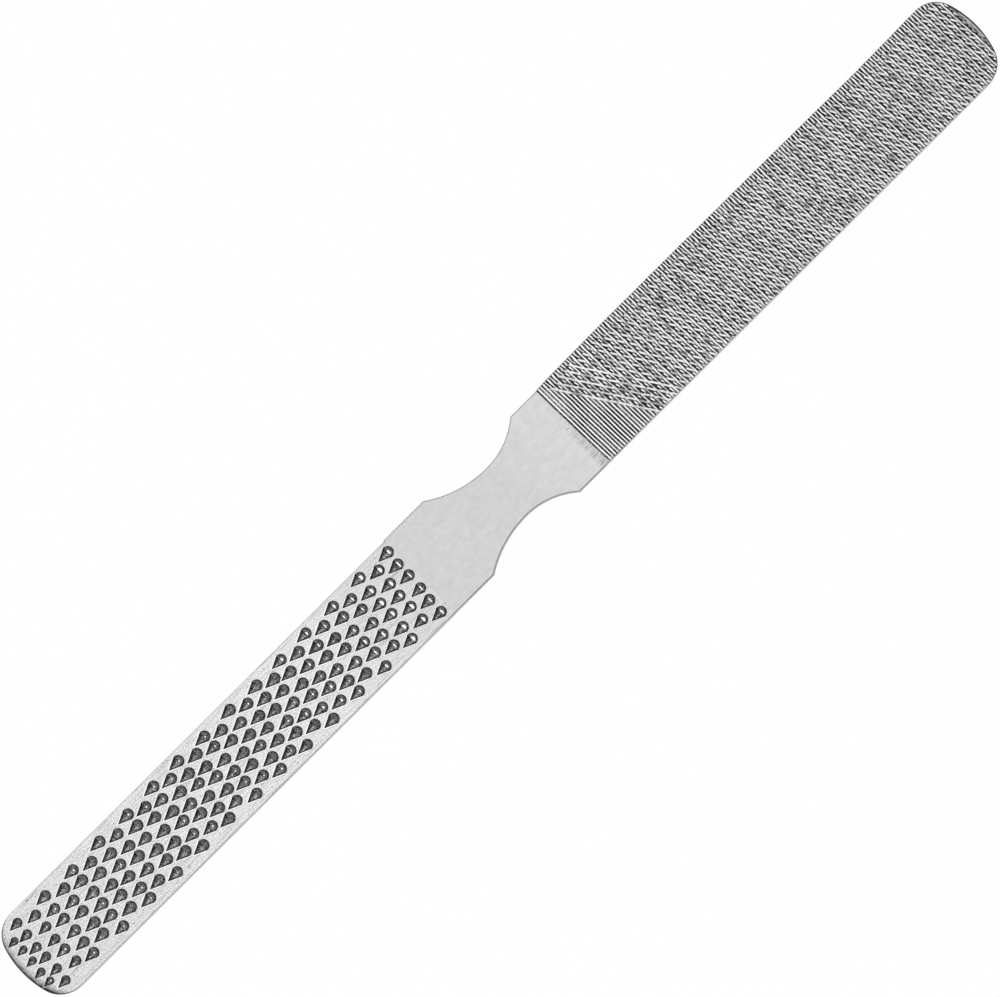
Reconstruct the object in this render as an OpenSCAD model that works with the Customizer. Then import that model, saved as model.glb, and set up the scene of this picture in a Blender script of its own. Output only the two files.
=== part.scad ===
// Double-ended foot file: one strip of stainless steel with a punched rasp at one end,
// a file at the other and a waisted grip between them.
// +X runs along the strip towards the file end, +Z is out of the upper face,
// and the origin is the middle of the strip.

/* [Strip] */
// Length of the strip over both round ends
length = 180; // [150:1:220]
// Width of the strip at the grip
width = 13.8; // [12:0.1:18]
// Thickness of the strip between its two flat faces
thickness = 2; // [1.6:0.1:3]
// Width of the small bevel along the edges of both faces
edge_break = 0.15; // [0.05:0.01:0.3]
// Radius of the bulging end of the strip
end_r = 13.6; // [11:0.1:20]
// Radius of the two corners of each end
corner_r = 4; // [2.5:0.1:5]
// Angle of the slopes to which both faces are ground at each end
tip_slope = 14; // [5:0.5:18]

/* [Grip] */
// Distance from the middle of the strip to the middle of the grip's waist
waist_x = 0.8; // [0:0.1:3]
// Radius of the hollow on each side of the waist
waist_r = 13.5; // [11:0.1:18]
// Depth of each hollow below the straight edge
waist_depth = 2.7; // [1.5:0.1:3.5]
// How far the two hollows are ground apart along the strip
waist_skew = 0.7; // [0:0.1:1.5]
// Bare steel from the middle of the waist to the rasp
bare_to_rasp = 15.8; // [13:0.1:22]
// Bare steel from the middle of the waist to the first file cut
bare_to_cuts = 13; // [12:0.1:22]

/* [Rasp] */
// How far the rasp end is ground in from the grip on each edge
rasp_relief = 0.1; // [0.05:0.01:0.2]
// Distance between columns of teeth along the strip
column_pitch = 2.5; // [2.3:0.05:4]
// Distance between the teeth of a column across the strip
row_pitch = 2.07; // [1.95:0.01:2.3]
// Length of a tooth's pit from its tail to its cutting lip
pit_length = 1.84; // [1.2:0.02:2]
// Width of a tooth at its lip
tooth_w = 1.72; // [1:0.02:1.8]
// Depth of the pit under the lip
pit_depth = 0.4; // [0.2:0.02:0.6]
// Height of the lip above the face
lip_height = 0.25; // [0.1:0.01:0.4]
// Plain steel between the coarse end and the tails of its nearest teeth
end_margin = 0.9; // [0.6:0.1:3]
// Length of the ground slopes at the coarse end
rasp_tip = 0.6; // [0.3:0.05:0.9]
// Angle by which the columns lean away from square
column_lean = 2.9; // [0:0.1:4]

/* [File] */
// How far the cutting has spread the file end on each edge
cut_spread = 0.1; // [0.05:0.01:0.2]
// Distance between the cuts, which run square across the strip
cut_pitch = 0.456; // [0.4:0.002:0.9]
// Depth of the cuts
cut_depth = 0.18; // [0.1:0.01:0.3]
// Length of the ground slopes at the fine end, which have no cuts
end_rim = 1.05; // [0.6:0.05:2]

/* [Hidden] */
$fn = 32;

// How far a cutting shape runs past what it cuts
overrun = 1;
rasp_end_x = waist_x - bare_to_rasp;
cuts_start_x = waist_x + bare_to_cuts;
rasp_w = width - 2 * rasp_relief;
file_w = width + 2 * cut_spread;
// Straight pieces that make up each corner and each bulging end
corner_steps = 6;
end_steps = 16;

// Teeth: the first column stands just clear of the grip and the rest follow it towards the coarse end
tooth_r = tooth_w / 2;
first_lip_x = rasp_end_x - tooth_r;
// The column nearest the coarse end is punched smaller, by this share
end_tooth_share = 0.65;
end_lip_x = end_margin + end_tooth_share * pit_length - length / 2;
columns = round((first_lip_x - end_lip_x) / column_pitch);
// The columns run ahead of even spacing and fall back again, once over this many columns
drift = 0.45;
drift_columns = 26;
// The columns are a little taller near the grip than near the coarse end, by this share
narrowing_share = 0.08;
// All teeth stand this far up from the middle of the strip, and a column or a tooth strays further
rows_y = 0.12;
column_stray = 0.15;
stray = 0.12;
rows_room = rasp_w - tooth_w - 2 * (rows_y + column_stray + stray);
rows = floor(rows_room / (row_pitch * (1 + narrowing_share / 2))) + 1;
burr_r = (tooth_r * tooth_r + lip_height * lip_height) / (2 * lip_height);
pit_fall = atan(pit_depth / pit_length);
// Width of the pit at the lip, as a share of the tooth's
pit_mouth_share = 0.9;

cuts = floor((length / 2 - end_rim - cuts_start_x) / cut_pitch);
// Where the valley of a cut lies between two crests
valley_share = 0.4;

// A flat bar between two places along the strip, with its long edges bevelled
module bar(x_from, x_to, w) {
    half_w = w / 2;
    half_t = thickness / 2;
    translate([x_from, 0, 0])
        rotate([90, 0, 90])
            linear_extrude(x_to - x_from)
                polygon([
                    [-half_w + edge_break, -half_t], [half_w - edge_break, -half_t],
                    [half_w, -half_t + edge_break], [half_w, half_t - edge_break],
                    [half_w - edge_break, half_t], [-half_w + edge_break, half_t],
                    [-half_w, half_t - edge_break], [-half_w, -half_t + edge_break]
                ]);
}

// Points along an arc between two angles
function arc(centre, r, from, to, steps) = [
    for (i = [0:steps])
        let (a = from + (to - from) * i / steps)
            centre + r * [cos(a), sin(a)]
];

// Plan of one end: two corner arcs that run into the bulging end
module end_plan(w) {
    centre_x = length / 2 - end_r;
    corner_y = w / 2 - corner_r;
    corner_x = centre_x + sqrt(pow(end_r - corner_r, 2) - pow(corner_y, 2));
    turn = atan2(corner_y, corner_x - centre_x);
    polygon(concat(
        [[0, -w], [corner_x, -w]],
        arc([corner_x, -corner_y], corner_r, -90, -turn, corner_steps),
        arc([centre_x, 0], end_r, -turn, turn, end_steps),
        arc([corner_x, corner_y], corner_r, turn, 90, corner_steps),
        [[corner_x, w], [0, w]]
    ));
}

// One end of the strip, from x_from to its bulging end at half the length
module round_end(x_from, w) {
    intersection() {
        bar(x_from, length / 2 + overrun, w);
        translate([0, 0, -thickness])
            linear_extrude(2 * thickness)
                end_plan(w);
    }
}

// What the grinding takes off both faces at the end that lies towards +X, beyond a straight line
module tip_slopes(w) {
    from_x = length / 2 - w;
    to_x = length / 2 + overrun;
    for (turn = [0, 180])
        rotate([turn, 0, 0])
            translate([0, file_w, thickness / 2])
                rotate([90, 0, 0])
                    linear_extrude(2 * file_w)
                        polygon([
                            [from_x, 0], [to_x, -(to_x - from_x) * tan(tip_slope)],
                            [to_x, overrun], [from_x, overrun]
                        ]);
}

// The hollows that the fingers hold, bevelled like the outer edges
module waist_cutters() {
    half_t = thickness / 2;
    for (side = [-1, 1])
        translate([waist_x + side * waist_skew / 2, side * (width / 2 - waist_depth + waist_r), 0])
            rotate_extrude()
                polygon([
                    [0, -half_t - overrun], [waist_r + edge_break + overrun, -half_t - overrun],
                    [waist_r, -half_t + edge_break], [waist_r, half_t - edge_break],
                    [waist_r + edge_break + overrun, half_t + overrun], [0, half_t + overrun]
                ]);
}

// One cut face of the file end, seen from the side: a crest and a valley for each cut
function cut_line(side) = [
    for (i = [0:cuts - 1], end = [0, 1])
        [cuts_start_x + (i + end * valley_share) * cut_pitch,
            side * (thickness / 2 - end * cut_depth)]
];
function reversed(points) = [for (i = [len(points) - 1:-1:0]) points[i]];

// Everything that lies between the two cut faces of the file end
module cut_profile() {
    cuts_end_x = cuts_start_x + cuts * cut_pitch;
    rim = [
        [cuts_end_x, thickness / 2], [length / 2 + overrun, thickness / 2],
        [length / 2 + overrun, -thickness / 2], [cuts_end_x, -thickness / 2]
    ];
    translate([0, file_w, 0])
        rotate([90, 0, 0])
            linear_extrude(2 * file_w)
                polygon(concat(cut_line(1), rim, reversed(cut_line(-1))));
}

// Where tooth j of column i stands: the middle of its lip on the upper face. Hand punching makes it
// stray by up to the named distances.
function wander(i, j) = sin(i * 137 + j * 251);
function tooth_rows(i) = rows - i % 2;
function pitch_in(i) = row_pitch * (1 + narrowing_share * (0.5 - i / columns));
function even_x(i) = first_lip_x - i * column_pitch - drift * sin(360 * (i + 1) / drift_columns);
function column_x(i) = i < columns ? even_x(i) : end_lip_x;
function column_y(i, j) = (j - (tooth_rows(i) - 1) / 2) * pitch_in(i) + stray * wander(j, i);
function tooth_y(i, j) = column_y(i, j) + rows_y + column_stray * wander(i, i);
function tooth_x(i, j) = column_x(i) + stray * wander(i, j) + column_y(i, j) * tan(column_lean);

// Puts a shape at every tooth of the upper face
module at_teeth() {
    for (i = [0:columns], j = [0:tooth_rows(i) - 1])
        translate([tooth_x(i, j), tooth_y(i, j), thickness / 2])
            scale(i < columns ? 1 : end_tooth_share)
                children();
}

// The burr raised behind the lip: part of a shallow dome
module burr() {
    intersection() {
        translate([0, 0, lip_height - burr_r])
            sphere(burr_r);
        translate([-lip_height, -tooth_w, -lip_height])
            cube([tooth_w + lip_height, 2 * tooth_w, 3 * lip_height]);
    }
}

// The pit that the punch leaves: a triangle that slopes down to the foot of the lip
module pit() {
    mouth_r = tooth_r * pit_mouth_share;
    translate([-pit_length, 0, 0])
        rotate([0, pit_fall, 0])
            linear_extrude(thickness)
                polygon([[0, 0], [pit_length, -mouth_r], [pit_length, mouth_r]]);
}

// Both faces carry the same teeth, turned over about the long axis
module on_both_faces() {
    for (turn = [0, 180])
        rotate([turn, 0, 0])
            children();
}

module file_body() {
    color("lightgray")
        difference() {
            union() {
                rotate([0, 0, 180])
                    round_end(-rasp_end_x, rasp_w);
                bar(rasp_end_x, cuts_start_x, width);
                intersection() {
                    round_end(cuts_start_x, file_w);
                    cut_profile();
                }
                on_both_faces()
                    at_teeth()
                        burr();
            }
            waist_cutters();
            tip_slopes(end_rim);
            rotate([0, 0, 180])
                tip_slopes(rasp_tip);
            on_both_faces()
                at_teeth()
                    pit();
        }
}

file_body();
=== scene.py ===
"""Looks of the foot file: the punched rasp and bare grip as one mesh and the double-cut file end as
two, in ground stainless steel. Sizes are in millimetres and become metres when a mesh is made."""

import math
import random
from collections import namedtuple

import bmesh
import bpy
import numpy as np
from mathutils import Matrix, Vector


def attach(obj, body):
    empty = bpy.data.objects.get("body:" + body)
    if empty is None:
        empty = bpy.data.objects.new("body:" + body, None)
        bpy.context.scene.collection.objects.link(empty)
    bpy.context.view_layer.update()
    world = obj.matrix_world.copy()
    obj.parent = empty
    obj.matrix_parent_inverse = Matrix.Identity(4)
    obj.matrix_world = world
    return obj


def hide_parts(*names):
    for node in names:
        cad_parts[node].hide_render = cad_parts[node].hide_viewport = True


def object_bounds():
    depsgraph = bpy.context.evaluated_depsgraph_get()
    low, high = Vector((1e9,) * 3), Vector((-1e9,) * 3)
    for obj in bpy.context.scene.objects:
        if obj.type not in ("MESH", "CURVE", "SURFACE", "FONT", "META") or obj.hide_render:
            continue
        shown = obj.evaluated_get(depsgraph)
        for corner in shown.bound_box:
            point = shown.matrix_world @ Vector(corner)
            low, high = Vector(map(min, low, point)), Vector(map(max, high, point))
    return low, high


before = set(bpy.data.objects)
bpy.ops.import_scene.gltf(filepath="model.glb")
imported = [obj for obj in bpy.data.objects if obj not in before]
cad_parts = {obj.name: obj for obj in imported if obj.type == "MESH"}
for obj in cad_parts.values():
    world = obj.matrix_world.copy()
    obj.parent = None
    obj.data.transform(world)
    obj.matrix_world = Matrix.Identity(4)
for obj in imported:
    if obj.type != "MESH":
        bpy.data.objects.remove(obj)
cad_low, cad_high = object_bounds()

MM = 0.001
TINY = 0.0001
LEVEL_NORMAL = 0.9999
TOOTH_SEED = 7
CUT_SEED = 11
random.seed(TOOTH_SEED)

# Strip, from the CAD box and the photograph
LENGTH = (cad_high.x - cad_low.x) / MM
FILE_W = (cad_high.y - cad_low.y) / MM
CUT_SPREAD = 0.1
GRIP_W = FILE_W - 2 * CUT_SPREAD
RASP_RELIEF = 0.1
RASP_W = GRIP_W - 2 * RASP_RELIEF
THICKNESS = 2.0
LIP_HEIGHT = (cad_high.z - cad_low.z) / MM / 2 - THICKNESS / 2
EDGE_BREAK = 0.15
END_R = 13.6
CORNER_R = 4.0
CORNER_STEPS = 10
END_STEPS = 28
LEAST_CORNER_COS = 0.5

# Grip: each hollow is two arcs that meet at its deepest point, and hand grinding left the grip's two
# halves a little off the middle of the strip
WAIST_X = 1.3
WAIST_SKEW = 0.7
WAIST_DEPTH = 2.76
WAIST_Y = -0.07
WAIST_RASP_R = 16.0
WAIST_FILE_R = 11.0
WAIST_STEPS = 24
GRIP_GRIND = 0.05
GRIP_RASP_Y = 0.09
GRIP_FILE_Y = -0.15
BARE_TO_RASP = 16.3
BARE_TO_CUTS = 12.5
RASP_END_X = WAIST_X - BARE_TO_RASP
CUTS_START_X = WAIST_X + BARE_TO_CUTS
STEP_RUN = 0.02
SATIN_GAP = 0.1
SATIN_FROM_X = RASP_END_X + SATIN_GAP
JOIN_GAP = 0.6
JOIN_X = CUTS_START_X - JOIN_GAP

# Ends: beyond a straight line across it, each tip is ground to a slope
RASP_TIP_W = 0.6
FILE_TIP_W = 1.05
TIP_SLOPE = math.radians(14)
FILE_TIP_LEAN = 0.0155
FILE_TIP_SAG_SHARE = 0.2

# Rasp teeth: where they stand
COLUMN_PITCH = 2.5
COLUMN_DRIFT = 0.45
DRIFT_COLUMNS = 26
ROW_PITCH = 2.07
ROW_NARROWING_SHARE = 0.08
FIRST_LIP_GAP = 0.87
FIRST_LIP_X = RASP_END_X - FIRST_LIP_GAP
END_LIP_X = -87.9
END_PITCH_SHARE = 0.92
TOOTH_Y = 0.08
COLUMN_LEAN = math.radians(2.9)
TOOTH_TURN = math.radians(1)
WANDER = 0.1
COLUMN_WANDER = 0.1
WANDER_DEGREES = (137, 251)

# Rasp teeth: the pit, the burr behind it, and the rims of steel pushed up along its sides
PIT_LENGTH = 1.84
PIT_DEPTH = 0.4
PIT_FLOOR_SHARES = (-0.36, 0.06)
TOOTH_R = 0.86
TOOTH_SIZE_SHARES = (0.94, 1.0)
SHALLOW_COLUMNS = 3
SHALLOW_SHARE = 0.85
END_TOOTH_SHARE = 0.72
BURR_STEPS = 12
BURR_RISE_DEGREES = (0, 18, 36, 54, 74, 90)
BURR_BACK_SHARE = 1.06
RIM_W = 0.22
RIM_HEIGHT = 0.03
RIM_TOP_SHARE = 0.6
FIRST_RIM_COLUMNS = 3
FULL_RIM_COLUMNS = 8
END_RIM_SHARE = 0.3

# Rasp teeth: the lip on top of the burr, bright with a painted highlight, which is only a dot or gone on
# most far columns
LIP_Y = -0.1
LIP_R = (0.34, 0.46)
LIP_W = (0.22, 0.34)
WIDE_LIP_W = (0.36, 0.46)
WIDE_LIP_COLUMNS = (1, 2)
LEAST_LIP_R = 0.1
KEEN_COLUMNS = 9
KEEN_COLUMN_SHARES = (0.45, 1.3)
KEEN_FADE = 1.6
LEAST_KEEN_SHARE = 0.5
DOT_R = (0.1, 0.16)
DOT_W = (0.18, 0.26)
DOT_SHARE = 0.3

# File cuts: crests lie across the strip a pitch apart. Where a second set crosses them, every second
# crest is broken into dashes, with bars between the dashes. Along a crossing cut a place's q stays the
# same, which is its x plus its y times the tangent of the crossing angle.
CUT_PITCH = 0.455
DOUBLE_PITCH = 2 * CUT_PITCH
CUT_DEPTH = 0.18
CUT_LEAN = math.radians(1.4)
FIRST_CREST_GAP = 0.35
FIRST_CREST_X = CUTS_START_X + FIRST_CREST_GAP
UNCUT_SHARE = 0.37
CROSS_ANGLE = math.radians(32.2)
CROSS_TAN = math.tan(CROSS_ANGLE)
CROSS_X = 1.075
CROSS_START_GAP = 5.1
CROSS_START_Q = CUTS_START_X + CROSS_START_GAP
CROSS_EARLY_SHARE = 0.2
UNCROSSED_W = 1.1
UNCROSSED_STRAY_SHARE = 0.5
UNCROSSED_STEP = 1.5

# Where the cut surface turns: shares of a double pitch along the strip, and of a crossing cut's pitch
CUT_SHARES = (-0.104, 0.0, 0.104, 0.19, 0.27, 0.345, 0.425, 0.545, 0.665, 0.745, 0.82)
CROSS_SHARES = (-0.11, 0.0, 0.11, 0.19, 0.27, 0.36, 0.5, 0.64, 0.73, 0.81)

# Main crests: half widths, how far they lie below the face, and slopes as a fall per millimetre
CREST_HALF_W = 0.095
CREST_W_STRAY_SHARE = 0.3
CREST_W_STEP = 0.7
CREST_LOW = 0.025
CREST_LOW_STRAY = 0.02
CREST_LOW_STEP = 1.1
CREST_FRONT_SLOPE = 1.2
CREST_BACK_SLOPE = 2.5
SINGLE_HALF_W = 0.1
SINGLE_SLOPE = 2.3

# Bars that the crossing cuts raise between two main crests, and the dash in the middle of each gap
EARLY_BARS = 5
EARLY_LOW = 0.03
EARLY_REACH = 0.26
BAR_SHARES = (0.25, 0.8)
BAR_HALF_W = 0.09
FIRST_BAR_EXTRA_W = 0.06
BAR_LOW = 0.01
BAR_LOW_STRAY = 0.06
CROSS_SLOPE = 1.9
DASH_SHARE = 0.545
DASH_HALF_W = 0.11
DASH_REACH = 0.33
DASH_LOW = 0.005
DASH_LOW_STRAY = 0.05
DASH_LEAN = 0.1
DASH_SIDE_FADE = (0.12, 0.26)
DASH_END_FADE = (0.4, 0.8)

# Floor of the cuts: how far it rises over the cut depth in each place, and its random strays
CELLS = 128
FRONT_FLOOR_RISE = 0.065
BACK_FLOOR_RISE = 0.035
DASH_FLOOR_DIP = 0.025
DASH_FLOOR_FADE = (0.3, 0.6)
SINGLE_FLOOR_RISE = 0.042
SINGLE_FLOOR_STRAY = 0.03
SINGLE_FLOOR_STEPS = (1.5, 4.0)
FIRST_LINES = 4
FIRST_LINES_RISE = 0.05
LOWER_EDGE_W = 0.9
LOWER_EDGE_RISE = 0.05
FLOOR_STRAY = 0.05
FLOOR_GRAIN = 0.03

# Strays of the cuts along the strip
WOBBLE = 0.06
WOBBLE_STEP = 1.8
SINGLE_WOBBLE_SHARE = 0.45
CROSS_WOBBLE = 0.03

# File end: how far the cut slab runs past the strip, and how far the upper edge is ground in
SLAB_BEFORE = 1
SLAB_BESIDE = 0.8
SLAB_BEYOND = 0.6
FILE_GRIND_X_AND_DEPTH = (
    (74.0, 0.17),
    (58.0, 0.05),
    (40.0, 0.0),
    (26.0, 0.0),
    (16.5, 0.12),
    (14.4, 0.2),
)
FILE_JOIN_GRIND = 0.3

# Edges that turn by more than this stay sharp
RASP_SHARP_ANGLE = math.radians(28)
FILE_SHARP_ANGLE = math.radians(20)

# Slots of the grip and rasp, and of the file end
LAND, SATIN, TIP, EDGE, RIM, PIT, FLOOR, BURR, LIP = range(9)
CUT, BARE, GROUND, SIDE = range(4)

# Distances in the materials: scratches from the first cut, wear from the grip, and painted shade that
# darkens the lands and the tips' slopes towards the outline of the tips
HAIRS_LENGTH = 1.4
HAIRS_FULL_LENGTH = 0.7
WORN_OVER = 20
ROUGH_OVER = 30
TIP_SHADE_W = 1.2
TIP_SHADE_STRAY = (-0.15, 0.3)
GROUND_RIM_SHADE_W = 0.2
GROUND_RIM_SHADE_FADE_W = 0.32
EDGE_CHANGE_W = 3.0

# Greys at shares of a distance, a depth, a height or a noise. All but the last are painted light: painted
# shade towards the tips' outline, in the pits, on the burrs and in the cuts' valleys, and a painted
# highlight on the cuts' crests
TIP_SHADE_GREYS_AT_SHARES = ((0.2, 0.05), (0.32, 0.33), (0.55, 0.64), (1.0, 1.0))
PIT_WALL_SHADE_GREYS_AT_SHARES = ((0.0, 0.05), (0.35, 0.08), (0.6, 0.2), (1.0, 0.42))
PIT_FLOOR_SHADE_GREYS_AT_SHARES = ((0.0, 0.05), (0.25, 0.1), (0.4, 0.3), (0.6, 0.46), (1.0, 0.46))
BURR_SHADE_GREYS_AT_SHARES = ((0.0, 0.06), (0.35, 0.07), (0.8, 0.14), (1.0, 0.2))
CUT_LIGHT_AND_SHADE_GREYS_AT_SHARES = ((0.0, 1.0), (0.22, 0.88), (0.45, 0.4), (0.7, 0.13), (1.0, 0.03))
BRIGHT_SHARES = (0.35, 0.6)

# Camera: the photograph's scale and the pixel centre of its frame
PHOTO_LENGTH_PIXELS = 1345.8
MM_PER_PIXEL = LENGTH / PHOTO_LENGTH_PIXELS
FRAME_PIXELS = 1000
LENS = 150.0
SENSOR = 36.0
AXIS_ANGLE = math.radians(44.867)
TILT = math.radians(5.0)
AIM_X = 0.08
AIM_Y = -0.12
CLIP_START = 10.0
CLIP_END = 10000.0

# Stage: the floor, the room's light, and the name, place, size and power of each lamp
FLOOR_HALF_W = 1500.0
PAPER_GREY = 0.9
WHITE_SHARE = 0.985
WORLD_STRENGTH = 0.5
LAMPS = (
    ("overhead_softbox", (0.0, 70.0, 800.0), 600.0, 0.88),
    ("side_softbox", (-200.0, 600.0, 450.0), 400.0, 0.95),
)


# Meshes


def make_object(name, points, faces, slots, materials):
    """A mesh object from points in millimetres, with a material index for each face."""
    mesh = bpy.data.meshes.new(name)
    mesh.from_pydata([tuple(MM * c for c in p) for p in points], [], faces)
    for material in materials:
        mesh.materials.append(material)
    mesh.polygons.foreach_set("material_index", slots)
    mesh.update()
    obj = bpy.data.objects.new(name, mesh)
    bpy.context.scene.collection.objects.link(obj)
    return obj


def combine(base, tool, operation):
    """Changes base by a boolean with tool, which is then removed."""
    modifier = base.modifiers.new(operation, "BOOLEAN")
    modifier.operation = operation
    modifier.solver = "MANIFOLD"
    modifier.object = tool
    depsgraph = bpy.context.evaluated_depsgraph_get()
    made = bpy.data.meshes.new_from_object(base.evaluated_get(depsgraph))
    base.modifiers.clear()
    base.data = made
    bpy.data.objects.remove(tool)
    if not made.polygons:
        raise RuntimeError(f"{operation} left nothing of {base.name}")


def sharpen(obj, limit):
    """Smooth shading, apart from level faces and edges that turn by more than limit."""
    made = bmesh.new()
    made.from_mesh(obj.data)
    for face in made.faces:
        face.smooth = abs(face.normal.z) < LEVEL_NORMAL
    for edge in made.edges:
        edge.smooth = len(edge.link_faces) == 2 and edge.calc_face_angle() < limit
    made.to_mesh(obj.data)
    made.free()


def faces_between_rings(n, layers):
    """Faces that join stacked rings of n points, which enclose the given number of layers."""
    faces = []
    for layer in range(layers):
        for i in range(n):
            j = (i + 1) % n
            faces.append((layer * n + i, layer * n + j, (layer + 1) * n + j, (layer + 1) * n + i))
    return faces


# Outlines


def arc(centre, r, start, stop, steps):
    """Points along an arc between two angles."""
    angles = [start + (stop - start) * i / steps for i in range(steps + 1)]
    return [(centre[0] + r * math.cos(a), centre[1] + r * math.sin(a)) for a in angles]


def end_outline(x_from, w):
    """Plan of one end, anticlockwise from its lower edge at x_from to its upper edge there."""
    centre_x = LENGTH / 2 - END_R
    corner_y = w / 2 - CORNER_R
    corner_x = centre_x + math.sqrt((END_R - CORNER_R) ** 2 - corner_y**2)
    turn = math.atan2(corner_y, corner_x - centre_x)
    lower = arc((corner_x, -corner_y), CORNER_R, -math.pi / 2, -turn, CORNER_STEPS)
    bulge = arc((centre_x, 0), END_R, -turn, turn, END_STEPS)
    upper = arc((corner_x, corner_y), CORNER_R, turn, math.pi / 2, CORNER_STEPS)
    return [(x_from, -w / 2), *lower, *bulge[1:-1], *upper, (x_from, w / 2)]


def half_hollow(edge_x, edge_y, bottom, r):
    """The straight edge from edge_x and the arc after it, as far as just before the hollow's bottom."""
    bottom_x, bottom_y = bottom
    reach = math.copysign(math.acos(1 - (edge_y - bottom_y) / r), edge_x - bottom_x)
    down = -math.pi / 2
    fall = arc((bottom_x, bottom_y + r), r, down + reach, down, WAIST_STEPS)
    return [(edge_x, edge_y), *fall[:-1]]


def waist_edge(side):
    """The grip's edge on one side from the file end to the rasp, with its finger hollow."""
    straight_y = GRIP_W / 2 - GRIP_GRIND
    bottom = (WAIST_X + side * WAIST_SKEW / 2, GRIP_W / 2 - WAIST_DEPTH + side * WAIST_Y)
    by_file = half_hollow(JOIN_X, straight_y + side * GRIP_FILE_Y, bottom, WAIST_FILE_R)
    by_rasp = half_hollow(RASP_END_X, straight_y + side * GRIP_RASP_Y, bottom, WAIST_RASP_R)
    return [(x, side * y) for x, y in (*by_file, bottom, *reversed(by_rasp))]


def grip_and_rasp_outline():
    """Plan of the rasp end and the grip, anticlockwise from the upper edge where the file end joins."""
    rasp = [(-x, -y) for x, y in end_outline(-RASP_END_X + STEP_RUN, RASP_W)]
    return [*waist_edge(1), *rasp, *reversed(waist_edge(-1))]


def file_outline():
    """Plan of the file end: its upper edge is ground a little narrower in places, and its tip leans."""
    lower, *tip, upper = end_outline(JOIN_X, FILE_W)
    leaning = []
    for x, y in tip:
        lean = FILE_TIP_LEAN * (y - FILE_TIP_SAG_SHARE * abs(y))
        leaning.append((min(x + lean, LENGTH / 2), y))
    ground = [(x, FILE_W / 2 - depth) for x, depth in FILE_GRIND_X_AND_DEPTH]
    return [lower, *leaning, *ground, (JOIN_X, FILE_W / 2 - FILE_JOIN_GRIND)]


def inset(outline, distance):
    """The open outline moved inwards by a distance."""
    moved = []
    for i, (x, y) in enumerate(outline):
        if i in (0, len(outline) - 1):
            moved.append((x, y - math.copysign(distance, y)))
            continue
        before = Vector(outline[i]) - Vector(outline[i - 1])
        after = Vector(outline[i + 1]) - Vector(outline[i])
        inward = (before.normalized() + after.normalized()).orthogonal().normalized()
        stretch = 1 / max(inward.dot(before.orthogonal().normalized()), LEAST_CORNER_COS)
        moved.append((x + inward.x * distance * stretch, y + inward.y * distance * stretch))
    return moved


def between(a, b, share):
    return (a[0] + (b[0] - a[0]) * share, a[1] + (b[1] - a[1]) * share)


def split_at_line(outline, brink, line_x):
    """The outline and its inner brink, with one point more wherever they pass the tip's straight line."""
    edge, top = [], []
    for i in range(len(outline)):
        j = (i + 1) % len(outline)
        edge.append(outline[i])
        top.append(brink[i])
        here = abs(brink[i][0]) - line_x
        there = abs(brink[j][0]) - line_x
        if here * there < 0:
            share = here / (here - there)
            edge.append(between(outline[i], outline[j], share))
            top.append(between(brink[i], brink[j], share))
    return edge, top


def blank(name, outline, tip_w, slots, materials):
    """A closed plate with bevelled edges, whose tip slopes down beyond a straight line across it."""
    line_x = LENGTH / 2 - tip_w
    edge, top = split_at_line(outline, inset(outline, EDGE_BREAK), line_x)

    def fall(x):
        return max(0.0, abs(x) - line_x) * math.tan(TIP_SLOPE)

    rings = [(edge, EDGE_BREAK), (top, 0.0)]
    points = []
    for side, stack in ((-1, reversed(rings)), (1, rings)):
        for ring, below in stack:
            points.extend((x, y, side * (THICKNESS / 2 - below - fall(x))) for x, y in ring)
    level, sloped, bevel = slots
    faces, kinds = [], []
    n = len(top)
    upper_brink = len(points) - n
    for first, forwards in ((0, False), (upper_brink, True)):
        flat = [first + i for i, (x, _) in enumerate(top) if abs(x) < line_x + TINY]
        slope = [first + i for i, (x, _) in enumerate(top) if abs(x) > line_x - TINY]
        for face, kind in ((flat, level), (slope, sloped)):
            faces.append(tuple(face) if forwards else tuple(reversed(face)))
            kinds.append(kind)
    walls = faces_between_rings(n, upper_brink // n)
    faces.extend(walls)
    kinds.extend([bevel] * len(walls))
    return make_object(name, points, faces, kinds, materials)


# Rasp teeth

# Which face, column and row a tooth is in, where it stands, its size as a share, the half length and the
# width of its bright lip, and the width of its rims
Tooth = namedtuple("Tooth", "turn column row x y size lip_r lip_w rim_w")


def wander(i, j):
    """A repeatable stray from -1 to 1."""
    step_i, step_j = WANDER_DEGREES
    return math.sin(math.radians(i * step_i + j * step_j))


def column_x(i, last):
    """Where column i stands: evenly spaced but for a slow drift, with a place of its own for the last."""
    if i == last:
        return END_LIP_X
    drift = COLUMN_DRIFT * math.sin(math.tau * (i + 1) / DRIFT_COLUMNS)
    return FIRST_LIP_X - i * COLUMN_PITCH - drift


def row_pitch(i, last):
    """Distance between the teeth of column i."""
    pitch = ROW_PITCH * (1 + ROW_NARROWING_SHARE * (0.5 - i / last))
    return pitch * END_PITCH_SHARE if i == last else pitch


def column_size(i, last):
    """Size of the teeth in column i, as a share: the punch sank less deep into the last columns."""
    if i == last:
        return END_TOOTH_SHARE
    return 1 - (1 - SHALLOW_SHARE) * max(0.0, 1 - (last - 1 - i) / SHALLOW_COLUMNS)


def column_rim(i, last):
    """Width of the rims in column i: they widen away from the grip, and the last ones are thin."""
    rim_w = RIM_W * min(1.0, (i + FIRST_RIM_COLUMNS) / FULL_RIM_COLUMNS)
    return rim_w * END_RIM_SHARE if i == last else rim_w


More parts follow.
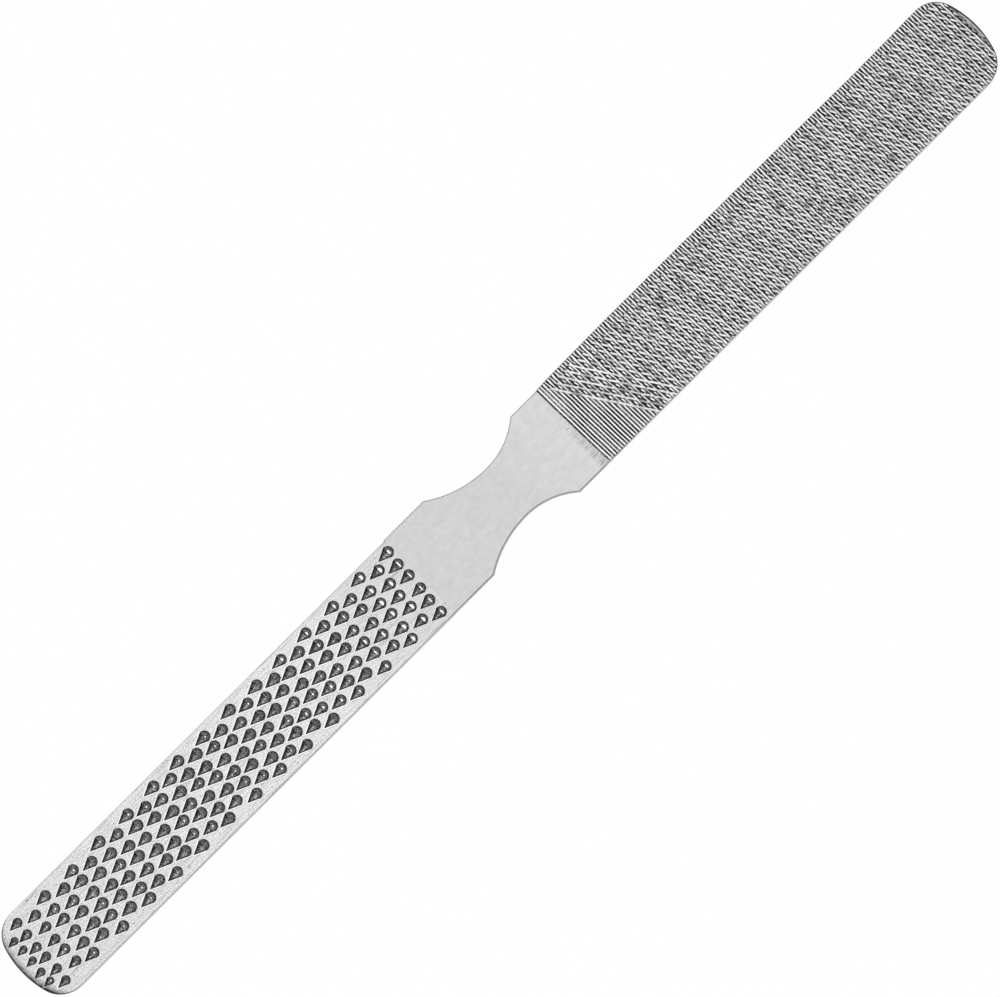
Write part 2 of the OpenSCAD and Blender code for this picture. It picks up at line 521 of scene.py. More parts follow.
def lip_of(i):
    """Half length and width of the bright lip on a tooth of column i."""
    keen = max(LEAST_KEEN_SHARE, 1 - i / KEEN_COLUMNS / KEEN_FADE)
    lip_r = random.uniform(*LIP_R) * keen
    lip_w = random.uniform(*(WIDE_LIP_W if i in WIDE_LIP_COLUMNS else LIP_W))
    if i > KEEN_COLUMNS * random.uniform(*KEEN_COLUMN_SHARES):
        lip_r = random.uniform(*DOT_R) if random.random() < DOT_SHARE else 0.0
        lip_w = random.uniform(*DOT_W)
    return lip_r, lip_w


def teeth_of_face(turn):
    """Every tooth of one face, column by column from the grip. Columns take turns to lack a tooth."""
    last = round((FIRST_LIP_X - END_LIP_X) / COLUMN_PITCH)
    rows = math.floor((RASP_W - 2 * TOOTH_R) / ROW_PITCH) + 1
    teeth = []
    for i in range(last + 1):
        in_column = rows - i % 2
        shift_y = TOOTH_Y + COLUMN_WANDER * wander(i, i)
        for j in range(in_column):
            y = (j - (in_column - 1) / 2) * row_pitch(i, last) + WANDER * wander(j, i)
            x = column_x(i, last) + WANDER * wander(i, j) + y * math.tan(COLUMN_LEAN)
            size = column_size(i, last) * random.uniform(*TOOTH_SIZE_SHARES)
            lip_r, lip_w = lip_of(i)
            teeth.append(Tooth(turn, i, j, x, y + shift_y, size, lip_r, lip_w, column_rim(i, last)))
    return teeth


def pit_tool(tooth):
    """The punch: a triangle that sinks to the foot of the lip. Each face has its material."""
    above = 2 * LIP_HEIGHT
    lean = 0.1
    front = 0.02
    foot = -0.05
    length = PIT_LENGTH * tooth.size
    mouth_r = TOOTH_R * tooth.size
    depth = PIT_DEPTH * tooth.size
    lower, upper = (share * mouth_r for share in PIT_FLOOR_SHARES)
    points = [
        (-length - lean, 0, above),
        (lean, -mouth_r - lean, above),
        (lean, mouth_r + lean, above),
        (-length, 0, 0),
        (front, -mouth_r, 0),
        (front, mouth_r, 0),
        (foot, lower, -depth),
        (foot, upper, -depth),
    ]
    faces_and_slots = [
        ((0, 1, 2), PIT),
        ((0, 3, 4, 1), PIT),
        ((2, 5, 3, 0), PIT),
        ((3, 6, 4), FLOOR),
        ((5, 7, 3), PIT),
        ((3, 7, 6), FLOOR),
        ((1, 4, 5, 2), PIT),
        ((4, 6, 7, 5), PIT),
    ]
    faces, slots = zip(*faces_and_slots)
    return points, faces, slots


def burr_tool(tooth):
    """The burr behind the lip: rings that close from a half round foot to the small worn flat of the lip."""
    front = -0.1
    foot = -0.12
    r = TOOTH_R * tooth.size
    height = LIP_HEIGHT * tooth.size
    top_r = max(tooth.lip_r, LEAST_LIP_R)
    rises = [math.radians(a) for a in BURR_RISE_DEGREES]
    rings = [(1.0, foot)] + [(math.cos(a), height * math.sin(a)) for a in rises]
    points = []
    for spread, z in rings:
        half = spread * r + (1 - spread) * top_r
        shift = (1 - spread) * LIP_Y
        for k in range(BURR_STEPS + 1):
            a = -math.pi / 2 + math.pi * k / BURR_STEPS
            back = BURR_BACK_SHARE * spread * r * math.cos(a)
            back += (1 - spread) * tooth.lip_w * math.sqrt(max(0.0, math.cos(a)))
            points.append((back, shift + half * math.sin(a), z))
        points.extend([(front, shift + half, z), (front, shift - half, z)])
    n = len(points) // len(rings)
    bottom = tuple(reversed(range(n)))
    top = tuple(range(len(points) - n, len(points)))
    faces = [bottom, *faces_between_rings(n, len(rings) - 1), top]
    # The lip's flat top takes the painted highlight
    slots = [BURR] * (len(faces) - 1) + [LIP if tooth.lip_r else BURR]
    return points, faces, slots


def rim_tool(tooth):
    """Steel pushed up along both sides of the pit: a low wedge, blunt at its tail and wider than the pit."""
    length = PIT_LENGTH * tooth.size
    mouth_r = TOOTH_R * tooth.size
    points = []
    for spread, z in ((1.0, -RIM_HEIGHT), (RIM_TOP_SHARE, RIM_HEIGHT)):
        wide = tooth.rim_w * spread
        tail_x = -length - wide
        mouth_y = mouth_r + wide
        points.extend([(tail_x, -wide, z), (0, -mouth_y, z), (0, mouth_y, z), (tail_x, wide, z)])
    faces = [(3, 2, 1, 0), (4, 5, 6, 7), *faces_between_rings(4, 1)]
    return points, faces, [RIM] * len(faces)


def tools_at_teeth(name, teeth, tool_of, materials):
    """One object that holds a tool at each of the teeth."""
    points, faces, slots = [], [], []
    for tooth in teeth:
        placed = (
            Matrix.Rotation(tooth.turn, 4, "X")
            @ Matrix.Translation((tooth.x, tooth.y, THICKNESS / 2))
            @ Matrix.Rotation(TOOTH_TURN, 4, "Z")
        )
        tool_points, tool_faces, tool_slots = tool_of(tooth)
        start = len(points)
        points.extend(tuple(placed @ Vector(p)) for p in tool_points)
        faces.extend(tuple(start + i for i in face) for face in tool_faces)
        slots.extend(tool_slots)
    return make_object(name, points, faces, slots, materials)


def paint_grip(piece):
    """Splits the level faces where the rasp ends: they are satin steel on the grip."""
    made = bmesh.new()
    made.from_mesh(piece.data)
    split = (SATIN_FROM_X * MM, 0, 0)
    level = [face for face in made.faces if face.material_index == LAND]
    edges = {edge: None for face in level for edge in face.edges}
    verts = {vert: None for face in level for vert in face.verts}
    bmesh.ops.bisect_plane(made, geom=[*verts, *edges, *level], plane_co=split, plane_no=(1, 0, 0))
    for face in made.faces:
        if face.material_index == LAND and face.calc_center_median().x > split[0]:
            face.material_index = SATIN
    made.to_mesh(piece.data)
    made.free()


def make_grip_and_rasp(materials):
    """The grip and the rasp end. Neighbouring rims overlap, so every second one is joined at a time."""
    slots = (LAND, TIP, EDGE)
    piece = blank("grip_and_rasp", grip_and_rasp_outline(), RASP_TIP_W, slots, materials)
    teeth = teeth_of_face(0.0) + teeth_of_face(math.pi)
    for group in ((0, 0), (0, 1), (1, 0), (1, 1)):
        apart = [tooth for tooth in teeth if (tooth.column % 2, tooth.row % 2) == group]
        combine(piece, tools_at_teeth("rims", apart, rim_tool, materials), "UNION")
    combine(piece, tools_at_teeth("burrs", teeth, burr_tool, materials), "UNION")
    combine(piece, tools_at_teeth("pits", teeth, pit_tool, materials), "DIFFERENCE")
    paint_grip(piece)
    sharpen(piece, RASP_SHARP_ANGLE)
    return piece


# File end

# How places lie among the cuts: which main crest and bar they follow and by how far, the nearest bar's
# number, the distance to the nearest crest and bar, and that to the dash's middle across and along it
CutPlace = namedtuple(
    "CutPlace", "line past_crest to_crest bar past_bar nearest_bar to_bar to_dash along_dash"
)


def blend(value, start, stop):
    """0 up to start, 1 from stop on."""
    return np.clip((value - start) / (stop - start), 0.0, 1.0)


def mound(top, slope, *reaches):
    """A flat-topped rise: each reach is a distance and how far the flat goes that way."""
    fall = sum(slope * np.maximum(0.0, np.abs(distance) - flat) for distance, flat in reaches)
    return top - fall


def soft_noise(rng, x, y, step_x, step_y):
    """Smooth noise from -1 to 1 with a random value at each step."""
    columns = (x - x.min()) / step_x
    rows = (y - y.min()) / step_y
    table = rng.uniform(-1, 1, (int(columns.max()) + 2, int(rows.max()) + 2))
    i, j = columns.astype(int), rows.astype(int)
    s, t = columns - i, rows - j
    s, t = s * s * (3 - 2 * s), t * t * (3 - 2 * t)
    near = table[i, j] * (1 - t) + table[i, j + 1] * t
    far = table[i + 1, j] * (1 - t) + table[i + 1, j + 1] * t
    return near * (1 - s) + far * s


def place_among_cuts(x, q):
    line = np.floor((x - FIRST_CREST_X) / DOUBLE_PITCH).astype(int)
    past_crest = np.mod(x - FIRST_CREST_X, DOUBLE_PITCH)
    to_crest = np.minimum(past_crest, DOUBLE_PITCH - past_crest)
    bar = np.floor((q - CROSS_START_Q) / CROSS_X).astype(int)
    past_bar = np.mod(q - CROSS_START_Q, CROSS_X)
    nearest_bar = np.where(past_bar > CROSS_X / 2, bar + 1, bar)
    to_bar = np.minimum(past_bar, CROSS_X - past_bar) * math.cos(CROSS_ANGLE)
    to_dash = past_crest - DASH_SHARE * DOUBLE_PITCH
    along_dash = (past_bar - CROSS_X / 2 - to_dash) / CROSS_TAN
    return CutPlace(line, past_crest, to_crest, bar, past_bar, nearest_bar, to_bar, to_dash, along_dash)


def main_crests(x, y, at, early, rng):
    """Height of the main crests where others cross them: uneven, and steeper behind than in front."""
    low = CREST_LOW + CREST_LOW_STRAY * soft_noise(rng, x, y, CUT_PITCH, CREST_LOW_STEP)
    stray = CREST_W_STRAY_SHARE * soft_noise(rng, x, y, DOUBLE_PITCH, CREST_W_STEP)
    slope = np.where(at.past_crest > CUT_PITCH, CREST_FRONT_SLOPE, CREST_BACK_SLOPE)
    return mound(-low - EARLY_LOW * early, slope, (at.to_crest, CREST_HALF_W * (1 + stray)))


def bars(at, early, chance):
    """Height of the bars that the crossing cuts raise. The first ones are lower and reach further."""
    low = BAR_LOW + BAR_LOW_STRAY * chance**2 + EARLY_LOW * early
    middle = sum(BAR_SHARES) / 2 * DOUBLE_PITCH
    reach = (BAR_SHARES[1] - BAR_SHARES[0]) / 2 * DOUBLE_PITCH + EARLY_REACH * early
    half_w = BAR_HALF_W + FIRST_BAR_EXTRA_W * (at.nearest_bar == 0)
    return mound(-low, CROSS_SLOPE, (at.to_bar, half_w), (at.past_crest - middle, reach))


def dashes(at, chance):
    """Height of the short crest between two main crests and two bars."""
    low = DASH_LOW + DASH_LOW_STRAY * chance**3
    return mound(-low, CROSS_SLOPE, (at.to_dash, DASH_HALF_W), (at.along_dash, DASH_REACH))


def single_crests(at):
    """Height of the crests where no others cross them, at every pitch."""
    nearest = np.minimum(at.to_crest, np.abs(at.past_crest - CUT_PITCH))
    return mound(0.0, SINGLE_SLOPE, (nearest, SINGLE_HALF_W))


def cut_floor(x, y, at, crossed, chance, rng):
    """Height of the cuts' floor: less deep in the first lines, along the lower edge and before a crest."""
    beside_dash = 1 - blend(np.abs(at.along_dash), *DASH_FLOOR_FADE)
    crossed_rise = np.where(at.past_crest > CUT_PITCH, FRONT_FLOOR_RISE, BACK_FLOOR_RISE)
    crossed_rise = crossed_rise - DASH_FLOOR_DIP * beside_dash
    first_lines = 1 - blend(x, FIRST_CREST_X, FIRST_CREST_X + FIRST_LINES * CUT_PITCH)
    single_rise = SINGLE_FLOOR_RISE + SINGLE_FLOOR_STRAY * soft_noise(rng, x, y, *SINGLE_FLOOR_STEPS)
    single_rise = single_rise + FIRST_LINES_RISE * first_lines * blend(y, -FILE_W / 4, FILE_W / 2)
    rise = np.where(crossed, crossed_rise, single_rise)
    rise = rise + LOWER_EDGE_RISE * blend(-y, FILE_W / 2 - LOWER_EDGE_W, FILE_W / 2)
    return -CUT_DEPTH + rise - FLOOR_STRAY * chance + FLOOR_GRAIN * rng.uniform(-1, 1, x.shape)


def cut_height(x, y, q, rng):
    """Height over the upper face, below zero, at x and y on the strip and q along the crossing cuts."""
    at = place_among_cuts(x, q)
    bar_chances, dash_chances, floor_chances = rng.uniform(0.0, 1.0, (3, CELLS, CELLS))
    cell = (at.line % CELLS, at.bar % CELLS)
    nearest_cell = (at.line % CELLS, at.nearest_bar % CELLS)
    early = 1 - blend(at.nearest_bar, 0, EARLY_BARS)
    crossed_crests = [
        main_crests(x, y, at, early, rng),
        bars(at, early, bar_chances[nearest_cell]),
        dashes(at, dash_chances[cell]),
    ]
    stray = UNCROSSED_STRAY_SHARE * soft_noise(rng, x, y, UNCROSSED_STEP, UNCROSSED_STEP)
    below_upper_edge = y < FILE_W / 2 - UNCROSSED_W * (1 + stray)
    crossed = (q > CROSS_START_Q - CROSS_EARLY_SHARE * CROSS_X) & below_upper_edge
    height = np.where(crossed, np.maximum.reduce(crossed_crests), single_crests(at))
    height = np.maximum(height, cut_floor(x, y, at, crossed, floor_chances[cell], rng))
    return np.where(x < FIRST_CREST_X - UNCUT_SHARE * DOUBLE_PITCH, 0.0, height)


def cut_shift(x, y, q, rng):
    """How far the cuts stray along the strip: little where they are single, and each dash leans."""
    at = place_among_cuts(x, q)
    beside_dash = 1 - blend(np.abs(at.to_dash), *DASH_SIDE_FADE)
    near_dash = beside_dash * (1 - blend(np.abs(at.along_dash), *DASH_END_FADE))
    crossed = blend(q, CROSS_START_Q - CROSS_X / 2, CROSS_START_Q + CROSS_X)
    pushed = CROSS_WOBBLE * np.sin(math.tau * at.past_bar / CROSS_X) - DASH_LEAN * at.along_dash * near_dash
    strength = SINGLE_WOBBLE_SHARE + (1 - SINGLE_WOBBLE_SHARE) * crossed
    return WOBBLE * soft_noise(rng, x, y, DOUBLE_PITCH, WOBBLE_STEP) * strength + pushed * crossed


def lattice(start, stop, period, shares):
    """Places along one direction: the shares of each period."""
    count = math.ceil((stop - start) / period)
    places = [start + (k + share) * period for k in range(count + 1) for share in shares]
    return np.array([p for p in places if start - TINY <= p <= stop])


def cut_surface(rng):
    """Grid points of the upper cut surface, the place of each of its rows, and which squares are used."""
    reach = FILE_W / 2 + SLAB_BESIDE
    xs = lattice(FIRST_CREST_X - DOUBLE_PITCH, LENGTH / 2 + SLAB_BEYOND, DOUBLE_PITCH, CUT_SHARES)
    xs = np.concatenate([[JOIN_X - SLAB_BEFORE], xs])
    periods_before = math.ceil((CROSS_START_Q - xs[0] + reach * CROSS_TAN) / CROSS_X)
    first_q = CROSS_START_Q - CROSS_X * periods_before
    qs = lattice(first_q, xs[-1] + reach * CROSS_TAN, CROSS_X, CROSS_SHARES)
    x, q = np.meshgrid(xs, qs, indexing="ij")
    y = (q - x) / CROSS_TAN
    z = THICKNESS / 2 + cut_height(x, y, q, rng)
    moved = x - y * math.tan(CUT_LEAN) + cut_shift(x, y, q, rng)
    inside = np.abs((y[:-1, :-1] + y[1:, 1:]) / 2) < reach
    return np.stack([moved, y, z], axis=-1), xs, inside


def close_below(slab):
    """Draws the rim of a cut surface down to the strip's middle and closes it there."""
    made = bmesh.new()
    made.from_mesh(slab.data)
    rim = [edge for edge in made.edges if edge.is_boundary]
    grown = bmesh.ops.extrude_edge_only(made, edges=rim)["geom"]
    for item in grown:
        if isinstance(item, bmesh.types.BMVert):
            item.co.z = 0.0
    open_rim = [edge for edge in made.edges if edge.is_boundary]
    bmesh.ops.edgeloop_fill(made, edges=open_rim)
    bmesh.ops.recalc_face_normals(made, faces=made.faces)
    made.to_mesh(slab.data)
    made.free()


def cut_slab(name, turn, materials):
    """One half of the file end from the strip's middle to its cut face, wider and longer than the strip."""
    grid, xs, inside = cut_surface(np.random.default_rng(CUT_SEED))
    turned = Matrix.Rotation(turn, 4, "X")
    index = {}
    points, faces, slots = [], [], []

    def corner(i, j):
        if (i, j) not in index:
            index[i, j] = len(points)
            points.append(tuple(turned @ Vector(grid[i, j])))
        return index[i, j]

    for i, j in np.argwhere(inside):
        faces.append((corner(i, j), corner(i + 1, j), corner(i + 1, j + 1), corner(i, j + 1)))
        slots.append(BARE if xs[i + 1] < CUTS_START_X else CUT)
    slab = make_object(name, points, faces, slots, materials)
    close_below(slab)
    return slab


def make_file_half(name, turn, materials):
    """The part of a cut slab that lies within the file end's plate."""
    piece = cut_slab(name, turn, materials)
    plate = blank(name + "_plate", file_outline(), FILE_TIP_W, (BARE, GROUND, SIDE), materials)
    combine(piece, plate, "INTERSECT")
    sharpen(piece, FILE_SHARP_ANGLE)
    return piece


# Materials


class Nodes:
    """Builds a metal material's nodes with short calls. Places and distances are in millimetres."""

    def __init__(self, name, roughness):
        self.material = bpy.data.materials.new(name)
        self.material.use_nodes = True
        self.tree = self.material.node_tree
        self.shader = self.tree.nodes["Principled BSDF"]
        self.shader.inputs["Metallic"].default_value = 1.0
        self.shader.inputs["Roughness"].default_value = roughness
        metres = self.add("ShaderNodeTexCoord").outputs["Object"]
        scaled = self.add("ShaderNodeVectorMath", operation="SCALE")
        self.link(metres, scaled.inputs[0])
        scaled.inputs["Scale"].default_value = 1 / MM
        self.place = scaled.outputs[0]

    def add(self, kind, **settings):
        node = self.tree.nodes.new(kind)
        for key, value in settings.items():
            setattr(node, key, value)
        return node

    def link(self, output, target):
        self.tree.links.new(output, target)

    def noise(self, scale, detail=3.0, roughness=0.6):
        """Noise whose grain is as fine along each axis as scale says, in grains a millimetre."""
        stretched = self.add("ShaderNodeMapping")
        self.link(self.place, stretched.inputs["Vector"])
        stretched.inputs["Scale"].default_value = scale
        node = self.add("ShaderNodeTexNoise")
        self.link(stretched.outputs[0], node.inputs["Vector"])
        node.inputs["Scale"].default_value = 1.0
        node.inputs["Detail"].default_value = detail
        node.inputs["Roughness"].default_value = roughness
        return node.outputs["Fac"]

    def calc(self, operation, a, b=0.0):
        node = self.add("ShaderNodeMath", operation=operation)
        for socket, value in zip(node.inputs, (a, b)):
            if isinstance(value, float):
                socket.default_value = value
            else:
                self.link(value, socket)
        return node.outputs[0]

    def plus(self, a, b):
        return self.calc("ADD", a, b)

    def minus(self, a, b):
        return self.calc("SUBTRACT", a, b)

    def times(self, a, b):
        return self.calc("MULTIPLY", a, b)

    def spread(self, value, low, high, to_low, to_high):
        """The range from low to high spread over that from to_low to to_high, and level outside it."""
        node = self.add("ShaderNodeMapRange")
        self.link(value, node.inputs["Value"])
        for key, number in (("From Min", low), ("From Max", high), ("To Min", to_low), ("To Max", to_high)):
            node.inputs[key].default_value = number
        return node.outputs[0]

    def stray(self, noise, size):
        """A noise spread from -size to size."""
        return self.spread(noise, 0.3, 0.7, -size, size)

    def ramp(self, value, greys_at_shares):
        """Greys at shares along a value."""
        node = self.add("ShaderNodeValToRGB")
        self.link(value, node.inputs[0])
        elements = node.color_ramp.elements
        while len(elements) < len(greys_at_shares):
            elements.new(1.0)
        for element, (share, grey) in zip(elements, greys_at_shares):
            element.position = share
            element.color = (grey, grey, grey, 1.0)
        return node.outputs["Color"]

    def part(self, axis):
        """Place along one axis."""
        parts = self.add("ShaderNodeSeparateXYZ")
        self.link(self.place, parts.inputs[0])
        return parts.outputs[axis]

    def from_middle(self):
        """Distance along the strip from its middle."""
        return self.calc("ABSOLUTE", self.part("X"))

    def depth(self):
        """How far a place lies below the strip's faces, and below zero above them."""
        return self.minus(THICKNESS / 2, self.calc("ABSOLUTE", self.part("Z")))

    def to_rim(self):
        """Distance from a place to the round outline of the nearer tip."""
        reach = self.calc("MAXIMUM", self.minus(self.from_middle(), LENGTH / 2 - END_R))
        y = self.part("Y")
        square = self.plus(self.calc("POWER", reach, 2.0), self.times(y, y))
        return self.minus(END_R, self.calc("SQRT", square))

    def colour(self, output):
        self.link(output, self.shader.inputs["Base Color"])

    def bump(self, height, distance):
        node = self.add("ShaderNodeBump")
        self.link(height, node.inputs["Height"])
        node.inputs["Distance"].default_value = distance * MM
        node.inputs["Strength"].default_value = 1.0
        self.link(node.outputs[0], self.shader.inputs["Normal"])


def satin_steel():
    """The bare grip: satin, with short scratches where the tools that cut the file end ran out."""
    made = Nodes("satin_steel", roughness=0.42)
    brushed = made.noise((0.6, 14.0, 14.0), detail=4.0)
    clouds = made.noise((0.9, 1.6, 1.6), detail=4.0)
    hairs = made.noise((0.8, 8.0, 8.0), detail=2.0)
    along = made.part("X")
    near_cuts = made.spread(along, CUTS_START_X - HAIRS_LENGTH, CUTS_START_X - HAIRS_FULL_LENGTH, 0.0, 1.0)
    strong = made.spread(made.part("Y"), -GRIP_W / 2, GRIP_W / 4, 0.42, 0.05)
    dark_hairs = made.times(made.spread(hairs, 0.48, 0.57, 0.0, 1.0), made.times(near_cuts, strong))
    mottle = made.plus(made.stray(brushed, 0.015), made.stray(clouds, 0.04))
    grey = made.plus(made.spread(along, WAIST_X, CUTS_START_X, 0.662, 0.71), mottle)
    made.colour(made.minus(grey, dark_hairs))
    made.bump(brushed, distance=0.003)
    return made.material


def scratched_steel():
    """The lands between the rasp teeth: rougher away from the grip, with dark nicks, and painted shade that
    darkens them towards the tips' outline.
    """
    made = Nodes("scratched_steel", roughness=0.38)
    scratches = made.noise((0.3, 8.0, 8.0), detail=3.0, roughness=0.7)
    marks = made.noise((4.5, 6.0, 6.0), detail=2.0, roughness=0.7)
    grooves = made.noise((0.15, 6.0, 6.0), detail=2.0)
    nicks = made.noise((1.6, 3.2, 3.2), detail=2.0, roughness=0.7)
    worn = made.spread(made.part("X"), RASP_END_X, RASP_END_X - WORN_OVER, 0.67, 0.76)
    rough = made.spread(made.part("X"), RASP_END_X, RASP_END_X - ROUGH_OVER, 0.4, 1.0)
    spots = made.plus(made.stray(scratches, 0.16), made.stray(marks, 0.28))
    light = made.plus(worn, made.times(spots, rough))
    dark = made.plus(made.spread(grooves, 0.57, 0.64, 0.0, 0.22), made.spread(nicks, 0.66, 0.7, 0.0, 0.4))
    # Painted shade: the lands darken towards the outline of the tips, over a distance that strays across the
    # strip
    uneven = made.spread(made.part("Y"), -RASP_W / 2, RASP_W / 2, *TIP_SHADE_STRAY)
    to_tip_shade = made.spread(made.plus(made.to_rim(), uneven), 0.0, TIP_SHADE_W, 0.0, 1.0)
    painted_tip_shade = made.ramp(to_tip_shade, TIP_SHADE_GREYS_AT_SHARES)
    made.colour(made.times(made.minus(light, dark), painted_tip_shade))
    made.bump(scratches, distance=0.006)
    return made.material


def ground_steel(name, inner, outer, slope_w):
    """The ground slope of a tip, ground across the strip, from its straight line to its rim: greys from
    inner to outer across the slope as painted light, and painted shade along the rim.
    """
    made = Nodes(name, roughness=0.45)
    grain = made.noise((7.0, 0.9, 0.9), detail=2.0, roughness=0.7)
    # Painted light across the slope: a painted highlight brightens the file tip towards its edge, and
    # painted shade darkens the rasp tip towards its edge
    slope = made.spread(made.from_middle(), LENGTH / 2 - slope_w, LENGTH / 2 - EDGE_BREAK, inner, outer)
    # Painted shade along the rim of the tip
    painted_rim_shade = made.spread(made.to_rim(), GROUND_RIM_SHADE_W, GROUND_RIM_SHADE_FADE_W, 0.12, 1.0)
    base = made.times(slope, painted_rim_shade)
    made.colour(made.times(base, made.spread(grain, 0.36, 0.64, 0.35, 1.65)))
    made.bump(grain, distance=0.01)
    return made.material


def edge_steel():
    """The broken edges and side walls: they pale away from the grip, and painted shade darkens them round
    the tips.
    """
    made = Nodes("edge_steel", roughness=0.45)
    grain = made.noise((1.5, 6.0, 6.0), detail=4.0, roughness=0.7)
    reach = made.from_middle()
    base = made.spread(reach, -RASP_END_X - EDGE_CHANGE_W, -RASP_END_X + EDGE_CHANGE_W, 0.47, 0.66)
    # Painted shade round the tips
    edge_tip_shade = made.spread(reach, LENGTH / 2 - CORNER_R, LENGTH / 2 - CORNER_R / 2, 1.0, 0.08)
    made.colour(made.times(made.times(base, edge_tip_shade), made.spread(grain, 0.3, 0.7, 0.8, 1.2)))
    return made.material


def pit_shade_steel(name, greys_at_shares, fleck):
    """The punched pit: painted shade, darkest where it begins and lighter further down, torn all over and
    flecked.
    """
    made = Nodes(name, roughness=0.45)
    torn = made.noise((3.0, 5.5, 5.5), detail=2.0, roughness=0.7)
    bright = made.noise((2.0, 4.0, 4.0), detail=2.0)
    share = made.spread(made.depth(), 0.0, PIT_DEPTH, 0.0, 1.0)
    # Painted shade in the pit, by depth
    grey = made.times(made.ramp(share, greys_at_shares), made.spread(torn, 0.38, 0.62, 0.15, 1.85))
    deep = made.spread(share, 0.2, 0.5, 0.0, 1.0)
    flecks = made.times(made.spread(bright, 0.6, 0.68, 0.0, fleck), deep)
    made.colour(made.plus(grey, flecks))
    made.bump(torn, distance=0.06)
    return made.material


def burr_shade_steel():
    """The torn burr: dark with painted shade, darker still towards its foot."""
    made = Nodes("burr_shade_steel", roughness=0.45)
    torn = made.noise((4.0, 5.0, 5.0), detail=2.0, roughness=0.7)
    rise = made.spread(made.depth(), -LIP_HEIGHT, 0.0, 1.0, 0.0)
    # Painted shade on the burr, deepest at its foot
    grey = made.ramp(rise, BURR_SHADE_GREYS_AT_SHARES)
    made.colour(made.times(grey, made.spread(torn, 0.38, 0.62, 0.2, 1.8)))
    made.bump(torn, distance=0.03)
    return made.material


def bright_steel(name, *greys):
    """Steel between two greys: the raised rims, and the lips, whose brightness is a painted highlight."""
    made = Nodes(name, roughness=0.35)
    worn = made.noise((3.0, 6.0, 6.0))
    made.colour(made.ramp(worn, tuple(zip(BRIGHT_SHARES, greys))))
    return made.material


def cut_light_and_shade_steel():
    """The cut surface of the file end: a painted highlight on the crests and painted shade in the valleys,
    by depth.
    """
    made = Nodes("cut_light_and_shade_steel", roughness=0.4)
    chips = made.noise((3.0, 5.0, 5.0), detail=3.0, roughness=0.7)
    depth = made.plus(made.depth(), made.stray(chips, 0.035))
    share = made.spread(depth, 0.0, CUT_DEPTH, 0.0, 1.0)
    # Painted highlight on the crests, painted shade deepening into the valleys
    made.colour(made.ramp(share, CUT_LIGHT_AND_SHADE_GREYS_AT_SHARES))
    made.bump(chips, distance=0.01)
    return made.material


def in_slots(materials):
    """The materials in the order of their slots."""
    return [materials[slot] for slot in sorted(materials)]


# Stage


def floor_paper():
    """Pale paper that is nearly white to the camera and in reflections, and takes the object's shadow."""
    material = bpy.data.materials.new("floor")
    material.use_nodes = True
    nodes = material.node_tree.nodes
    links = material.node_tree.links
    nodes.clear()
    paper = nodes.new("ShaderNodeBsdfDiffuse")
    paper.inputs["Color"].default_value = (PAPER_GREY, PAPER_GREY, PAPER_GREY, 1.0)
    white = nodes.new("ShaderNodeEmission")
    white.inputs["Color"].default_value = (1.0, 1.0, 1.0, 1.0)
    path = nodes.new("ShaderNodeLightPath")
    seen = nodes.new("ShaderNodeMath")
    seen.operation = "MAXIMUM"
    links.new(path.outputs["Is Camera Ray"], seen.inputs[0])
    links.new(path.outputs["Is Glossy Ray"], seen.inputs[1])
    share = nodes.new("ShaderNodeMath")
    share.operation = "MULTIPLY"
    share.inputs[1].default_value = WHITE_SHARE
    links.new(seen.outputs[0], share.inputs[0])
    mix = nodes.new("ShaderNodeMixShader")
    links.new(share.outputs[0], mix.inputs[0])
    links.new(paper.outputs[0], mix.inputs[1])
    links.new(white.outputs[0], mix.inputs[2])
    out = nodes.new("ShaderNodeOutputMaterial")
    links.new(mix.outputs[0], out.inputs["Surface"])
    return material


def make_floor(z):
    """A wide sheet of paper under the object, with z in metres."""
    half = FLOOR_HALF_W * MM
    corners = [(-half, -half, z), (half, -half, z), (half, half, z), (-half, half, z)]
    mesh = bpy.data.meshes.new("floor")
    mesh.from_pydata(corners, [], [(0, 1, 2, 3)])
    mesh.materials.append(floor_paper())
    floor = bpy.data.objects.new("floor", mesh)
    bpy.context.scene.collection.objects.link(floor)


def make_light():
    """A plain bright room and two soft lamps that face the object."""
    world = bpy.data.worlds.new("studio")
    bpy.context.scene.world = world
    world.use_nodes = True
    background = world.node_tree.nodes["Background"]
    background.inputs["Color"].default_value = (1.0, 1.0, 1.0, 1.0)
    background.inputs["Strength"].default_value = WORLD_STRENGTH
    for name, place, size, power in LAMPS:
        data = bpy.data.lights.new(name, "AREA")
        data.size = size * MM
        data.energy = power
        lamp = bpy.data.objects.new(name, data)
        lamp.location = Vector(place) * MM
        lamp.rotation_mode = "QUATERNION"
        lamp.rotation_quaternion = Vector(place).to_track_quat("Z", "Y")
        bpy.context.scene.collection.objects.link(lamp)


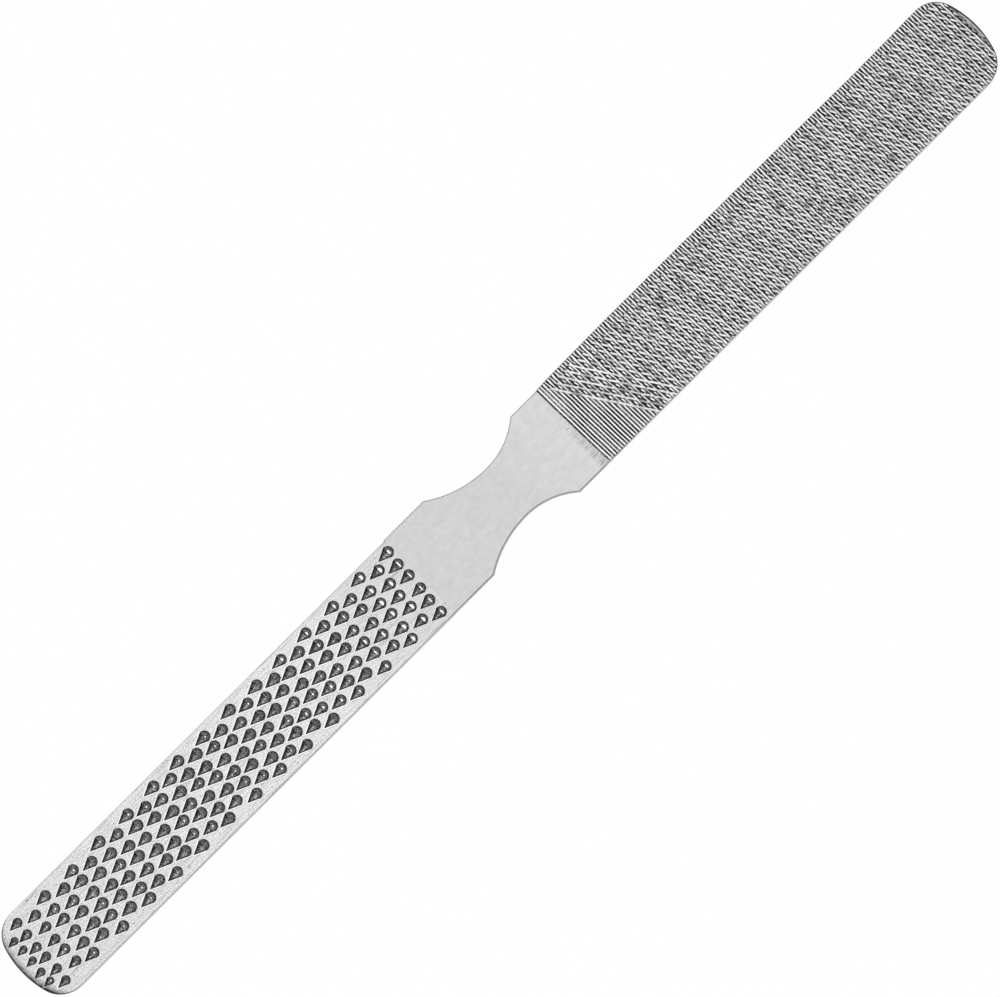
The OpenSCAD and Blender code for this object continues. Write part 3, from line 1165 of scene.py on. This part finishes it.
def make_camera():
    """Looks down at the upper face, tipped a little to show the near edge."""
    data = bpy.data.cameras.new("camera")
    data.lens = LENS
    data.sensor_width = SENSOR
    data.clip_start = CLIP_START * MM
    data.clip_end = CLIP_END * MM
    camera = bpy.data.objects.new("camera", data)
    right = Vector((math.cos(AXIS_ANGLE), -math.sin(AXIS_ANGLE), 0))
    up = Vector((math.sin(AXIS_ANGLE), math.cos(AXIS_ANGLE), 0))
    back = Vector((0, 0, 1))
    facing = Matrix((right, up, back)).transposed()
    tipped = Matrix.Rotation(TILT, 3, "X")
    distance = FRAME_PIXELS * MM_PER_PIXEL * LENS / SENSOR
    aim = Vector((AIM_X, AIM_Y, THICKNESS / 2))
    camera.location = (aim + tipped @ back * distance) * MM
    camera.rotation_mode = "QUATERNION"
    camera.rotation_quaternion = (tipped @ facing).to_quaternion()
    bpy.context.scene.collection.objects.link(camera)
    bpy.context.scene.camera = camera


satin = satin_steel()
edge = edge_steel()
grip_materials = {
    LAND: scratched_steel(),
    SATIN: satin,
    # Painted shade: the slope darkens towards the rim
    TIP: ground_steel("rasp_tip_steel", 0.56, 0.4, RASP_TIP_W),
    EDGE: edge,
    RIM: bright_steel("rim_steel", 0.8, 1.0),
    # Painted shade in the pits
    PIT: pit_shade_steel("pit_wall_shade_steel", PIT_WALL_SHADE_GREYS_AT_SHARES, 0.3),
    FLOOR: pit_shade_steel("pit_floor_shade_steel", PIT_FLOOR_SHADE_GREYS_AT_SHARES, 1.0),
    BURR: burr_shade_steel(),
    # Painted highlight on the lips
    LIP: bright_steel("lip_highlight_steel", 0.95, 1.0),
}
file_materials = {
    CUT: cut_light_and_shade_steel(),
    BARE: satin,
    # Painted highlight: the slope brightens towards the edge
    GROUND: ground_steel("file_tip_steel", 0.18, 1.0, FILE_TIP_W),
    SIDE: edge,
}
pieces = (
    make_grip_and_rasp(in_slots(grip_materials)),
    make_file_half("file_end_upper", 0.0, in_slots(file_materials)),
    make_file_half("file_end_lower", math.pi, in_slots(file_materials)),
)
for piece in pieces:
    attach(piece, "root")
    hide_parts("file_body")

make_floor(cad_low.z)
make_light()
make_camera()
bpy.context.scene.view_settings.view_transform = "Standard"
